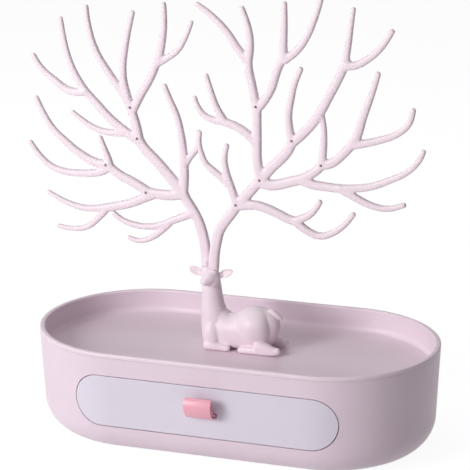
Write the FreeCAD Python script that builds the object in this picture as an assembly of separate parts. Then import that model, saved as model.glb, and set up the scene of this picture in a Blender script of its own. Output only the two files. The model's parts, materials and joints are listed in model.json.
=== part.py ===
import FreeCAD, Part
import math
import os

from FreeCAD import Placement, Rotation, Vector

# Jewellery stand with a drawer: a stadium-shaped base (outer shell, tray insert, drawer on runners)
# and a lying deer in the tray, which carries two flat, branching antlers for jewellery.
# Millimetres.  Origin: the centre of the shell's flat underside.  +X runs along the base, +Z is up,
# and the drawer opens towards -Y.

# ---------------------------------------------------------------- driving dimensions
LENGTH = 250.0               # base, over the lip
WIDTH = 130.0
RIM_HEIGHT = 64.5            # underside to top of the lip
DRAFT = 2.8                  # degrees, every upright wall leans out by this much
BOTTOM_RADIUS = 20.0         # outer rounding between wall and underside
SHELL_WALL = 1.8
TRAY_WALL = 1.5
TRAY_GAP = 0.15              # between the shell's wall and the tray's skirt
TRAY_DEPTH = 14.0            # lip top to tray floor
TRAY_FLOOR_THICK = 1.6
TRAY_FLOOR_RADIUS = 3.0
LIP_HEIGHT = 2.4
LIP_ROUND = 1.1
SEAM = 0.15                  # open seam between lip and shell rim

DRAWER_CENTRE_HEIGHT = 34.5
DRAWER_LENGTH = 162.6        # front plate
DRAWER_HEIGHT = 31.7
DRAWER_GAP = 0.5             # round the front plate
FRONT_RIM_THICK = 1.5        # the plate where it laps the tray's skirt
FRONT_THICK = 3.0            # the plate within its rim
FRONT_CORE_LENGTH = 154.0
FRONT_CORE_HEIGHT = 27.0
BOX_WIDTH = 148.0
BOX_HEIGHT = 24.0
BOX_WALL = 1.8
BOX_BACK = 45.0              # y of the box's rear face
DRAWER_TRAVEL = 85.0
RUNNER_X = 60.0
RUNNER_WIDTH = 3.0
RUNNER_CLEARANCE = 0.3

TAB_WIDTH = 16.4
TAB_LAYER = 1.25
TAB_SLOT_DROP = 1.5          # below the drawer's centre line
TAB_SLOT_GAP = 0.35
TAB_PIN_RADIUS = 1.2

POST_X = 88.0
POST_Y = 20.0
FOOT_RADIUS = 6.0
FOOT_BELOW = 1.2             # how far a foot stands below the underside
FOOT_RECESS = 0.9

DEER_Y = 7.0                 # the deer's middle plane
ANTLER_STAGGER = 3.0         # each antler's plane stands this far from the deer's middle plane
HEAD_X = -18.75              # midway between the ears
PEDICLE_HEIGHT = 50.0        # above the tray floor
PEDICLE_RADIUS = 3.0
PEG_RADIUS = 1.6
PEG_LENGTH = 8.0
PEG_GAP = 0.1
SEAT_GAP = 0.1               # between an antler's foot and its pedicle
STUD_HOLE_RADIUS = 0.9
STUD_BOSS_RADIUS = 3.2
STUD_BOSS_DEPTH = 3.7
BEVEL_SHARE = 0.28            # a limb's bevel, as a share of its tip's width
ANTLER_DEPTH = 4.8            # an antler's thickness along Y, less where a limb is slimmer
FACET_TURN = 9.0              # degrees that a limb turns from one facet to the next
SPINE_STEPS = 80
RING_SIDES = 16              # sides of each oval ring of the deer

# ---------------------------------------------------------------- worked out from them
FLOOR_Z = RIM_HEIGHT - TRAY_DEPTH
FLOOR_UNDER_Z = FLOOR_Z - TRAY_FLOOR_THICK
SEAM_Z = RIM_HEIGHT - LIP_HEIGHT
LEAN = math.tan(math.radians(DRAFT))
BOX_BOTTOM_Z = DRAWER_CENTRE_HEIGHT - BOX_HEIGHT / 2
BOX_TOP_Z = DRAWER_CENTRE_HEIGHT + BOX_HEIGHT / 2
BOX_X = BOX_WIDTH / 2
SLOT_Z = DRAWER_CENTRE_HEIGHT - TAB_SLOT_DROP
TRAY_SKIRT = SHELL_WALL + TRAY_GAP
POSTS = [(x, y) for x in (-POST_X, POST_X) for y in (-POST_Y, POST_Y)]

X, Y, Z = Vector(1, 0, 0), Vector(0, 1, 0), Vector(0, 0, 1)


# ---------------------------------------------------------------- shared shapes
def fused(shapes):
    """One solid from shapes that overlap."""
    first, rest = shapes[0], shapes[1:]
    return first.multiFuse(rest).removeSplitter() if rest else first


def box(x0, y0, z0, x1, y1, z1):
    """A block between two corners."""
    return Part.makeBox(x1 - x0, y1 - y0, z1 - z0, Vector(x0, y0, z0))


def rod(radius, start, end):
    """A cylinder between two points."""
    return Part.makeCylinder(radius, (end - start).Length, start, end - start)


def stadium_wire(length, height, middle, along, up):
    """A stadium outline round a middle point, its length along one direction."""
    r = height / 2
    run = along * (length / 2 - r)
    a, b = middle - run - up * r, middle + run - up * r
    c, d = middle + run + up * r, middle - run + up * r
    return Part.Wire([
        Part.LineSegment(a, b).toShape(),
        Part.Arc(b, middle + run + along * r, c).toShape(),
        Part.LineSegment(c, d).toShape(),
        Part.Arc(d, middle - run - along * r, a).toShape(),
    ])


def drafted(inset, z0, z1):
    """The base's drafted stadium between two heights, set in from the outer wall.

    Its ends are half cones about upright axes, and the run between them is a tapered bar.
    """
    low, high = (WIDTH / 2 - inset - (RIM_HEIGHT - z) * LEAN for z in (z0, z1))
    run = (LENGTH - WIDTH) / 2
    section = [Vector(-run, -low, z0), Vector(-run, low, z0), Vector(-run, high, z1), Vector(-run, -high, z1)]
    parts = [Part.Face(Part.makePolygon(section + section[:1])).extrude(X * 2 * run)]
    for side in (-1, 1):
        end = Part.makeCone(low, high, z1 - z0, Vector(0, 0, z0), Z, 180)
        end.Placement = Placement(X * side * run, Rotation(Z, -90 * side)).multiply(end.Placement)
        parts.append(end)
    return fused(parts)


def edges_at(shape, z, tolerance=0.01):
    """The edges of a shape that lie in one level plane."""
    return [e for e in shape.Edges
            if abs(e.BoundBox.ZMin - z) < tolerance and abs(e.BoundBox.ZMax - z) < tolerance]


def bowl(inset, top):
    """The base's outer form set in all round, with the large bottom rounding."""
    solid = drafted(inset, inset, top)
    return solid.makeFillet(BOTTOM_RADIUS - inset, edges_at(solid, inset))


def drawer_prism(length, height, y0, y1):
    """A stadium bar along Y at the drawer's height."""
    wire = stadium_wire(length, height, Vector(0, y0, DRAWER_CENTRE_HEIGHT), X, Z)
    return Part.Face(wire).extrude(Y * (y1 - y0))


def stations(points, root_width, tip_width, frame):
    """Places along the smooth line through points, one for each FACET_TURN that the line turns.

    frame is (origin, across, up, normal), and points are (across, up) pairs.  Each station is its
    place, the line's direction and the strip's width there, which tapers from root to tip.
    """
    origin, across, up, _ = frame
    spine = Part.BSplineCurve()
    spine.interpolate([origin + across * p[0] + up * p[1] for p in points])
    first, last = spine.FirstParameter, spine.LastParameter
    places = [first]
    for i in range(1, SPINE_STEPS):
        u = first + (last - first) * i / SPINE_STEPS
        turn = spine.tangent(places[-1])[0].getAngle(spine.tangent(u)[0])
        if math.degrees(turn) > FACET_TURN:
            places.append(u)
    places.append(last)
    return [(spine.value(u), spine.tangent(u)[0],
             root_width + (tip_width - root_width) * (u - first) / (last - first)) for u in places]


def strip(points, root_width, tip_width, frame, depth, bevel=0.0):
    """A flat strip, half its depth to each side of the frame's plane, with bevelled long edges."""
    normal = frame[3]
    left, right = [], []
    for place, way, width in stations(points, root_width, tip_width, frame):
        side = normal.cross(way) * (width / 2)
        left.append(place - normal * (depth / 2) + side)
        right.append(place - normal * (depth / 2) - side)
    reach = way * (tip_width / 2)
    corners = [left[-1] * 0.75 + right[-1] * 0.25 + reach, left[-1] * 0.25 + right[-1] * 0.75 + reach]
    outline = Part.makePolygon(left + corners + right[::-1] + [left[0]])
    plate = Part.Face(outline).extrude(normal * depth)
    return softened(plate, normal, bevel) if bevel > 0 else plate


def softened(plate, normal, size):
    """A flat plate with the edges of its two faces chamfered."""
    flat = [f for f in plate.Faces if abs(abs(f.normalAt(0, 0).dot(normal)) - 1) < 1e-6]
    return plate.makeChamfer(size, [e for f in flat for e in f.Edges])


# ---------------------------------------------------------------- base
def outer_shell():
    """The bowl, with its drawer opening, screw posts, runners and foot recesses."""
    shell = bowl(0.0, SEAM_Z - SEAM).cut(bowl(SHELL_WALL, RIM_HEIGHT))
    opening = drawer_prism(DRAWER_LENGTH + 2 * DRAWER_GAP, DRAWER_HEIGHT + 2 * DRAWER_GAP, -WIDTH, -30.0)
    shell = shell.cut(opening)
    inside = bowl(0.4, RIM_HEIGHT)
    posts = [rod(4.0, Vector(x, y, 0.5), Vector(x, y, 18.0)) for x, y in POSTS]
    runners = []
    for x in (-RUNNER_X, RUNNER_X):
        runners.append(box(x - RUNNER_WIDTH / 2, -52.0, 0.5,
                           x + RUNNER_WIDTH / 2, BOX_BACK + 3.0, BOX_BOTTOM_Z - RUNNER_CLEARANCE))
    for side in (-1, 1):
        x0, x1 = sorted((side * (BOX_X + 0.5), side * (BOX_X + 2.5)))
        runners.append(box(x0, -40.0, 0.5, x1, BOX_BACK, BOX_TOP_Z - 4.0))
    shell = fused([shell] + posts + [r.common(inside) for r in runners])
    for x, y in POSTS:
        shell = shell.cut(rod(3.1, Vector(x, y, -1.0), Vector(x, y, 16.0)))
        shell = shell.cut(rod(1.7, Vector(x, y, 15.0), Vector(x, y, 19.0)))
        shell = shell.cut(rod(FOOT_RADIUS + 0.2, Vector(x, y, -1.0), Vector(x, y, FOOT_RECESS)))
    return shell


def tray_insert():
    """The upper tray: lip over the shell's rim, skirt, floor, screw bosses and hold-down ribs."""
    lip = drafted(0.0, SEAM_Z, RIM_HEIGHT)
    tray = lip.fuse(drafted(TRAY_SKIRT, FLOOR_UNDER_Z, SEAM_Z)).removeSplitter()
    hollow = drafted(TRAY_SKIRT + TRAY_WALL, FLOOR_Z, RIM_HEIGHT + 2.0)
    hollow = hollow.makeFillet(TRAY_FLOOR_RADIUS, edges_at(hollow, FLOOR_Z))
    tray = tray.cut(hollow)
    tray = tray.makeFillet(LIP_ROUND, edges_at(tray, RIM_HEIGHT))
    bosses = [rod(3.4, Vector(x, y, 18.2), Vector(x, y, FLOOR_Z - 0.5)) for x, y in POSTS]
    ribs = [box(x - 1.5, -50.0, BOX_TOP_Z + RUNNER_CLEARANCE, x + 1.5, BOX_BACK, FLOOR_Z - 0.5)
            for x in (-RUNNER_X, RUNNER_X)]
    stop_y = BOX_BACK - 2.6 - DRAWER_TRAVEL - RUNNER_CLEARANCE
    ribs.append(box(-8.0, stop_y - 2.0, BOX_TOP_Z + RUNNER_CLEARANCE, 8.0, stop_y, FLOOR_Z - 0.5))
    tray = fused([tray] + bosses + ribs)
    for x, y in POSTS:
        tray = tray.cut(rod(1.5, Vector(x, y, 17.0), Vector(x, y, 31.0)))
    for x in DEER_SCREWS_X:
        tray = tray.cut(rod(1.6, Vector(x, DEER_Y, FLOOR_UNDER_Z - 1.0), Vector(x, DEER_Y, FLOOR_Z + 1.0)))
    return tray


def screw(head, direction, head_radius, head_height, shank_radius, shank_length):
    """A pan-head screw: head is the middle of the head's bearing face."""
    cap = Part.makeCylinder(head_radius, head_height, head - direction * head_height, direction)
    far = [e for e in cap.Edges if abs((e.CenterOfMass - head).dot(direction) + head_height) < 0.01]
    cap = cap.makeChamfer(head_height * 0.4, far)
    shank = Part.makeCylinder(shank_radius, shank_length, head, direction)
    return cap.fuse(shank)


def tray_screws():
    """Four screws up through the shell's posts into the tray's bosses."""
    return Part.makeCompound([screw(Vector(x, y, 16.0), Z, 2.8, 2.0, 1.45, 13.0) for x, y in POSTS])


def foot(x, y):
    """A round rubber foot in its recess."""
    pad = rod(FOOT_RADIUS, Vector(x, y, -FOOT_BELOW), Vector(x, y, FOOT_RECESS))
    return pad.makeChamfer(0.5, edges_at(pad, -FOOT_BELOW))


# ---------------------------------------------------------------- drawer
def drawer_front():
    """The stadium plate, flush with the drafted wall, with the strap's slot and two pilot holes."""
    wall = bowl(0.0, RIM_HEIGHT)
    rim = drawer_prism(DRAWER_LENGTH, DRAWER_HEIGHT, -WIDTH, -20.0)
    core = drawer_prism(FRONT_CORE_LENGTH, FRONT_CORE_HEIGHT, -WIDTH, -20.0)
    plate = fused([wall.cut(bowl(thick, RIM_HEIGHT + 1.0)).common(area)
                   for thick, area in ((FRONT_RIM_THICK, rim), (FRONT_THICK, core))])
    plate = plate.cut(tab_slot())
    for x in FRONT_SCREWS_X:
        plate = plate.cut(rod(1.1, Vector(x, -WIDTH / 2 + 2.6, DRAWER_CENTRE_HEIGHT),
                              Vector(x, -50.0, DRAWER_CENTRE_HEIGHT)))
    return plate


def tab_slot():
    """The block that the strap's slot takes out."""
    half = TAB_LAYER + TAB_SLOT_GAP
    return box(-TAB_WIDTH / 2 - 0.4, -WIDTH, SLOT_Z - half, TAB_WIDTH / 2 + 0.4, -50.0, SLOT_Z + half)


def rounded_block(x, y0, y1, z0, z1, corner):
    """A block about the middle plane with rounded upright corners at its rear."""
    block = box(-x, y0, z0, x, y1, z1)
    upright = [e for e in block.Edges if e.BoundBox.ZLength > 1 and abs(e.BoundBox.YMin - y1) < 0.01]
    return block.makeFillet(corner, upright)


def drawer_box():
    """The open box behind the front plate, with a stop nib on its rear wall."""
    outer = rounded_block(BOX_X, -WIDTH / 2, BOX_BACK, BOX_BOTTOM_Z, BOX_TOP_Z, 8.0)
    under = [e for e in edges_at(outer, BOX_BOTTOM_Z) if e.BoundBox.YMax > -WIDTH / 2 + 1]
    outer = outer.makeFillet(2.5, under).common(bowl(FRONT_THICK + 0.05, RIM_HEIGHT))
    hollow = rounded_block(BOX_X - BOX_WALL, BOX_FRONT_INSIDE, BOX_BACK - BOX_WALL,
                           BOX_BOTTOM_Z + BOX_WALL, BOX_TOP_Z + 1, 8.0 - BOX_WALL)
    hollow = hollow.makeFillet(1.5, edges_at(hollow, BOX_BOTTOM_Z + BOX_WALL))
    solid = outer.cut(hollow)
    nib = box(-5.0, BOX_BACK - 2.6, BOX_TOP_Z - 6.0, 5.0, BOX_BACK, FLOOR_UNDER_Z - RUNNER_CLEARANCE)
    solid = solid.fuse(nib).removeSplitter().cut(tab_slot())
    for x in FRONT_SCREWS_X:
        hole = rod(1.3, Vector(x, -WIDTH, DRAWER_CENTRE_HEIGHT), Vector(x, -50.0, DRAWER_CENTRE_HEIGHT))
        solid = solid.cut(hole)
    return solid


def drawer_front_screws():
    """Two small screws from inside the box into the front plate."""
    return Part.makeCompound([
        screw(Vector(x, BOX_FRONT_INSIDE, DRAWER_CENTRE_HEIGHT), -Y, 2.2, 1.4, 1.05, 4.2)
        for x in FRONT_SCREWS_X])


# ---------------------------------------------------------------- pull tab
TAB_FRAME = (Vector(0, 0, SLOT_Z), Y, Z, X)


def pull_tab():
    """The folded strap in front of the plate: two layers that curve up from the slot to the fold."""
    front = [(TAB_PIVOT_Y, -0.65), (-67.7, 0.2), (-70.5, 3.2), (-72.1, 7.2), (-72.9, 11.3)]
    rear = [(TAB_PIVOT_Y, 0.65), (-67.1, 1.6), (-69.3, 4.0), (-70.8, 7.6), (-71.6, 11.3)]
    layers = [strip(path, TAB_LAYER, TAB_LAYER, TAB_FRAME, TAB_WIDTH) for path in (front, rear)]
    ends = [rod(radius, Vector(-TAB_WIDTH / 2, y, SLOT_Z + up), Vector(TAB_WIDTH / 2, y, SLOT_Z + up))
            for radius, y, up in ((TAB_LAYER, TAB_PIVOT_Y, 0.0), (1.3, -72.3, 11.4))]
    return fused(layers + ends)


def tab_root():
    """The strap's hidden end: through the slot and round the pin."""
    reach = rod(TAB_PIN_RADIUS + 0.05 + TAB_LAYER, Vector(-TAB_WIDTH / 2, TAB_PIN_Y, SLOT_Z),
                Vector(TAB_WIDTH / 2, TAB_PIN_Y, SLOT_Z))
    tail = box(-TAB_WIDTH / 2, TAB_PIVOT_Y + TAB_LAYER + 0.3, SLOT_Z - TAB_LAYER,
               TAB_WIDTH / 2, TAB_PIN_Y, SLOT_Z + TAB_LAYER)
    eye = rod(TAB_PIN_RADIUS + 0.05, Vector(-TAB_WIDTH, TAB_PIN_Y, SLOT_Z),
              Vector(TAB_WIDTH, TAB_PIN_Y, SLOT_Z))
    return reach.fuse(tail).removeSplitter().cut(eye)


def tab_pin():
    """The rod that keeps the strap from pulling out."""
    half = TAB_WIDTH / 2 + 2.0
    return rod(TAB_PIN_RADIUS, Vector(-half, TAB_PIN_Y, SLOT_Z), Vector(half, TAB_PIN_Y, SLOT_Z))


# ---------------------------------------------------------------- deer
EAR_RINGS = [(4.1, 45.6, 1.6, 1.0), (6.4, 45.8, 2.2, 1.0), (9.1, 46.9, 2.6, 0.9), (11.7, 47.6, 1.9, 0.8),
             (13.5, 48.0, 0.7, 0.5)]   # out from the head, height, half height, half thickness


def form(rings, side=Y):
    """A closed form through oval rings, which face along the line of their middles.

    Each ring is its middle (x, y from the deer's middle plane, height above the tray floor), its half
    size along side and its half size square to it.
    """
    spots = [Vector(x, DEER_Y + y, FLOOR_Z + height) for x, y, height, _, _ in rings]
    wires = []
    for i, spot in enumerate(spots):
        way = spots[min(i + 1, len(spots) - 1)] - spots[max(i - 1, 0)]
        up = way.cross(side).normalize()
        across = up.cross(way).normalize()
        turns = [2 * math.pi * (k + 0.5) / RING_SIDES for k in range(RING_SIDES)]
        oval = [spot + across * rings[i][3] * math.cos(t) + up * rings[i][4] * math.sin(t) for t in turns]
        wires.append(Part.makePolygon(oval + oval[:1]))
    return Part.makeLoft(wires, True, True)


def trunk_of_deer():
    """Chest, belly, rump, haunches and the sweep from the neck down to the back."""
    torso = form([(-24.8, 0, 12.0, 3.0, 4.5), (-23.0, 0, 12.0, 5.6, 8.0), (-18.5, 0, 12.0, 8.0, 11.0),
                  (-12.0, 0, 11.3, 8.8, 11.4), (-4.0, 0, 10.9, 9.2, 11.0), (3.0, 0, 12.0, 9.4, 12.0),
                  (9.5, 0, 14.2, 9.4, 13.7), (14.5, 0, 14.4, 8.8, 13.4), (19.0, 0, 13.4, 7.0, 11.6),
                  (22.0, 0, 12.6, 4.8, 8.4), (23.6, 0, 12.0, 2.4, 4.2)])
    haunches = form([(-1.6, 0, 14.5, 6.5, 5.5), (1.5, 0, 15.0, 9.8, 9.4), (5.5, 0, 15.4, 11.8, 12.1),
                     (9.5, 0, 15.5, 12.5, 12.7), (13.5, 0, 15.4, 11.9, 12.2), (17.5, 0, 15.0, 9.9, 9.6),
                     (20.8, 0, 14.5, 6.0, 5.2)])
    withers = form([(-17.0, 0, 20.0, 6.0, 6.0), (-12.0, 0, 18.5, 6.6, 6.6), (-8.0, 0, 17.0, 7.2, 6.6),
                    (-3.0, 0, 15.5, 7.4, 6.2), (2.0, 0, 14.0, 7.0, 5.5)])
    tail = form([(19.0, 0, 25.4, 2.2, 2.0), (22.5, 0, 24.0, 2.0, 1.8), (25.0, 0, 22.0, 1.3, 1.2),
                 (26.6, 0, 20.5, 0.5, 0.5)])
    return [torso, haunches, withers, tail]


def neck_and_head():
    """The upright neck and the small head, which looks a little to the left."""
    neck = form([(-15.5, 0, 8.0, 8.4, 9.0), (-16.5, 0, 16.0, 8.2, 9.4), (-17.4, 0, 22.5, 7.4, 8.0),
                 (-18.0, 0, 27.0, 6.6, 7.0), (-18.4, 0, 33.0, 6.0, 6.4), (-18.7, 0, 39.0, 5.6, 5.9),
                 (-18.9, 0, 43.5, 5.3, 5.5), (-19.0, 0, 46.8, 4.4, 4.8), (-19.1, 0, 48.4, 2.6, 3.0)])
    head = form([(-18.4, 3.2, 45.2, 2.8, 2.6), (-18.4, 1.2, 45.2, 4.9, 4.5), (-18.3, -2.2, 44.9, 5.6, 5.2),
                 (-18.6, -4.8, 44.3, 5.0, 4.6), (-19.6, -6.4, 43.7, 3.7, 3.5), (-20.8, -8.2, 43.2, 2.7, 2.5),
                 (-21.6, -9.6, 43.0, 1.7, 1.6)], X)
    return [neck, head]


def legs(side):
    """The folded foreleg and hind leg of one side."""
    shoulder = form([(-16.5, 6.2 * side, 3.0, 3.2, 4.2), (-17.0, 6.4 * side, 7.0, 4.2, 5.6),
                     (-17.0, 6.0 * side, 12.0, 4.2, 5.8), (-16.8, 5.2 * side, 17.0, 3.0, 4.2),
                     (-16.6, 4.4 * side, 19.5, 1.6, 2.4)])
    foreleg = form([(-20.0, 7.6 * side, 3.4, 2.6, 3.0), (-17.0, 8.0 * side, 3.2, 3.4, 3.2),
                    (-12.0, 8.0 * side, 2.4, 2.5, 2.4), (-6.8, 8.0 * side, 2.0, 2.0, 2.0),
                    (-4.6, 8.0 * side, 1.7, 1.4, 1.5)])
    shin = form([(13.0, 7.4 * side, 9.0, 4.6, 5.2), (18.0, 8.0 * side, 6.2, 4.0, 4.2),
                 (22.5, 8.4 * side, 4.2, 3.2, 3.2), (26.0, 8.6 * side, 2.9, 2.2, 2.4),
                 (27.4, 8.6 * side, 2.6, 1.2, 1.3)])
    hind_foot = form([(28.0, 8.4 * side, 2.4, 1.0, 1.2), (27.0, 8.4 * side, 2.5, 2.1, 2.2),
                      (24.0, 8.4 * side, 2.6, 2.7, 2.7),
                      (16.0, 8.4 * side, 2.6, 2.6, 2.6), (7.0, 8.2 * side, 2.4, 2.4, 2.4),
                      (2.4, 8.2 * side, 2.1, 1.9, 2.0), (0.4, 8.2 * side, 1.8, 1.1, 1.3)])
    return [shoulder, foreleg, shin, hind_foot]


def ear(side):
    """A thin leaf of an ear with a scoop out of its front."""
    def leaf(share, forward):
        """The leaf, or what is scooped out of it."""
        return form([(HEAD_X + side * out, -0.6 - forward, height, share * tall, thick)
                     for out, height, tall, thick in EAR_RINGS], Z)
    return leaf(1.0, 0.0).cut(leaf(0.62, 0.9))


def pedicle(x, y):
    """The stub that carries an antler, which grows out of the neck."""
    return form([(0.3 * x + 0.7 * HEAD_X, 0.4 * y, 35.0, 3.2, 3.2),
                 (0.75 * x + 0.25 * HEAD_X, 0.85 * y, 41.0, 3.9, 3.9), (x, y, 46.5, 3.3, 3.3),
                 (x, y, PEDICLE_HEIGHT, PEDICLE_RADIUS, PEDICLE_RADIUS)])


def deer_body():
    """The lying deer: one moulding with ears, pedicles for the antlers and a flat seat."""
    parts = trunk_of_deer() + neck_and_head() + legs(-1) + legs(1) + [ear(-1), ear(1)]
    parts += [pedicle(px, py - DEER_Y) for px, py in PEDICLES]
    body = parts[0]
    for shape in parts[1:]:
        body = body.fuse(shape)
    body = body.cut(box(-60, -60, FLOOR_Z - 30, 60, 60, FLOOR_Z))
    for px, py in PEDICLES:
        top = Vector(px, py, FLOOR_Z + PEDICLE_HEIGHT)
        body = body.cut(rod(PEG_RADIUS + PEG_GAP, top - Z * (PEG_LENGTH + 0.5), top + Z))
    for x in DEER_SCREWS_X:
        body = body.cut(rod(1.5, Vector(x, DEER_Y, FLOOR_Z - 1), Vector(x, DEER_Y, FLOOR_Z + 9.0)))
    return body


def deer_screws():
    """Two screws up through the tray floor into the deer."""
    return Part.makeCompound([
        screw(Vector(x, DEER_Y, FLOOR_UNDER_Z), Z, 2.8, 1.3, 1.45, TRAY_FLOOR_THICK + 8.0)
        for x in DEER_SCREWS_X])


# ---------------------------------------------------------------- antlers
# Each kind of limb: width at its root and at its tip.
TRUNK = (6.4, 5.8)
BRANCH = (5.6, 5.0)
STEM = (4.9, 4.5)
LONG_TINE = (5.6, 3.0)
TINE = (4.8, 3.0)
TWIG = (4.3, 2.5)

# Each limb: its kind and points (x, height above the tray floor).
LEFT_LIMBS = [
    (TRUNK, [(-23, 50.5), (-23.5, 60), (-25, 69), (-27.5, 77), (-31, 84), (-35, 90), (-38, 96)]),
    (BRANCH, [(-37.5, 94), (-36.5, 104), (-36.5, 113)]),
    (TINE, [(-36.5, 112), (-37, 122), (-38.5, 133), (-41, 143), (-45, 152), (-48.5, 160.5)]),
    (TWIG, [(-37, 111), (-33, 117), (-29, 122), (-27, 128), (-27, 134)]),
    (TRUNK, [(-37, 94), (-43, 101), (-54, 113), (-63, 122), (-66, 127)]),
    (BRANCH, [(-65.5, 126), (-67, 134), (-69, 141), (-70.5, 147)]),
    (TINE, [(-69.5, 145), (-77, 156.5), (-83, 164.5), (-92.5, 180), (-97, 196), (-98, 206)]),
    (TINE, [(-70, 145), (-73, 154), (-75, 166), (-73, 183), (-68, 204)]),
    (STEM, [(-69, 144), (-63, 155), (-57, 165), (-52, 177)]),
    (TINE, [(-52, 175), (-49.5, 186), (-48, 197), (-48, 210)]),
    (TWIG, [(-53, 173.5), (-47, 177), (-40, 182), (-35, 189.5), (-30.5, 200)]),
    (LONG_TINE, [(-65, 125), (-75, 131), (-83, 137), (-93, 147), (-102, 157), (-110.5, 174), (-115, 198)]),
    (TINE, [(-99, 153.5), (-110, 153.5), (-120, 159.5), (-129, 167), (-134, 174.5)]),
    (TWIG, [(-74, 129.5), (-88, 129.5), (-96, 132), (-102, 135.5), (-109, 140.5)]),
    (TRUNK, [(-35, 94.5), (-48, 92.5), (-61, 93.5)]),
    (BRANCH, [(-60, 93.5), (-69, 98.5), (-79.5, 103.5), (-87, 109)]),
    (TWIG, [(-85, 108.5), (-86.5, 114), (-88.5, 119), (-91, 126)]),
    (LONG_TINE, [(-85, 108.5), (-94, 109.5), (-103, 113.5), (-113.5, 121), (-123.5, 130.5), (-133, 148)]),
    (TINE, [(-84, 107.5), (-91, 104), (-98, 102.5), (-106, 102), (-116, 102.5), (-124, 105),
            (-131.5, 111), (-138, 119.5)]),
    (BRANCH, [(-55, 93), (-63, 89.5), (-72, 85.5), (-83, 82.5), (-90, 81)]),
    (TWIG, [(-88, 81.5), (-102, 80), (-114, 82.5), (-127, 88.5)]),
    (TWIG, [(-87, 81.5), (-93.5, 74.5), (-101.5, 68), (-112, 66), (-121, 67)]),
    (TINE, [(-30, 83), (-45, 76.5), (-53, 73), (-61, 71.5), (-70, 72), (-78, 74.5), (-83, 78)]),
    (TWIG, [(-46.5, 75), (-54.5, 67.5), (-61, 63.5), (-67, 62), (-74, 63.5)]),
]
LEFT_STUDS = [(-61, 93.5), (-66, 127), (-70, 146), (-87, 109)]

RIGHT_LIMBS = [
    (TRUNK, [(-16.2, 50.6), (-15.5, 60), (-14, 68), (-12, 75), (-7.5, 82), (-3, 88), (0, 93)]),
    (TRUNK, [(-1, 91), (6, 99), (11, 105), (15, 110)]),
    (TINE, [(-1, 92), (-4, 101), (-8, 114), (-8.5, 121), (-7, 128)]),
    (TWIG, [(-6, 104), (-12, 109), (-16.5, 112.5), (-20.5, 116), (-23, 121.5), (-24.5, 128), (-24, 135)]),
    (BRANCH, [(-2, 91), (4, 92), (11, 92.5), (18, 91), (26, 88), (32, 85.5), (38, 84.5)]),
    (TINE, [(36, 85), (44, 89), (48, 93), (51, 98)]),
    (TINE, [(35, 85), (46, 78), (52, 77), (58, 79), (65.5, 84.5), (71.5, 92)]),
    (TRUNK, [(13, 108), (18, 106), (23, 106), (32, 108.5), (42, 111.5)]),
    (BRANCH, [(40, 111), (49, 117), (53, 121.5)]),
    (TINE, [(52, 119.5), (52.5, 126), (53, 133), (53, 142), (52, 150)]),
    (BRANCH, [(51, 120), (58, 122), (65, 128), (71.5, 135.5)]),
    (LONG_TINE, [(70.5, 134), (73.5, 140), (76.5, 150), (81.5, 164), (85.5, 177)]),
    (TINE, [(70, 133.5), (79, 135.5), (86, 137.5), (97, 142), (104, 148.5), (106.5, 157)]),
    (LONG_TINE, [(39, 110.5), (47, 108), (53, 107.5), (64, 107), (74, 108), (81.5, 109.5), (91.5, 113.5),
                 (103.5, 120), (110.5, 127.5), (113, 133)]),
    (TINE, [(62, 107.5), (70, 103.5), (75, 101), (83, 98), (92, 97), (102, 100)]),
    (TRUNK, [(13, 107), (20.5, 116), (30.5, 126.5), (34.5, 135)]),
    (TINE, [(34, 133), (32, 141), (31.5, 149), (33, 158), (35, 167), (39, 177)]),
    (BRANCH, [(33.5, 132), (39.5, 137.5), (47.5, 146.5), (51, 152), (55.5, 160.5), (61.5, 172), (66.5, 183)]),
    (TWIG, [(65.5, 181), (67.5, 193), (69, 204), (70.5, 214)]),
    (TINE, [(65.5, 180), (72, 181), (78.5, 184.5), (86.5, 191.5), (93.5, 202)]),
    (BRANCH, [(14, 108), (12, 121), (12, 133), (12, 142), (12, 154)]),
    (STEM, [(12, 130), (5, 136.5), (-2.5, 140.5), (-9.5, 142.5)]),
    (TWIG, [(-8, 142), (-13.5, 151.5), (-16.5, 160), (-19.5, 170)]),
    (TWIG, [(-7.5, 142.5), (-15, 143), (-21, 145.5), (-25, 150.5), (-27, 156)]),
    (STEM, [(12, 151), (9, 166), (7, 176), (7, 183)]),
    (TINE, [(7, 181), (8, 189), (7, 199), (3, 211)]),
    (TINE, [(7.5, 179), (1, 186), (-6, 196), (-15, 205), (-25, 212)]),
    (STEM, [(12, 151), (15.5, 155), (20.5, 163), (25, 176), (29, 184)]),
    (TINE, [(28.5, 182), (28.5, 192), (29, 203), (29, 215)]),
    (TINE, [(28.5, 181), (36, 187), (42, 195), (47, 206), (51, 218)]),
]
RIGHT_STUDS = [(-1, 92), (14, 108.5), (34, 134), (12, 153), (52, 120.5)]


def stud_boss(middle):
    """A twelve-sided boss at a fork, for a stud hole."""
    start = middle - Y * (STUD_BOSS_DEPTH / 2)
    spots = [start + Rotation(Y, 15 + 30 * i).multVec(X) * STUD_BOSS_RADIUS for i in range(12)]
    return softened(Part.Face(Part.makePolygon(spots + spots[:1])).extrude(Y * STUD_BOSS_DEPTH), Y, 0.8)


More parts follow.
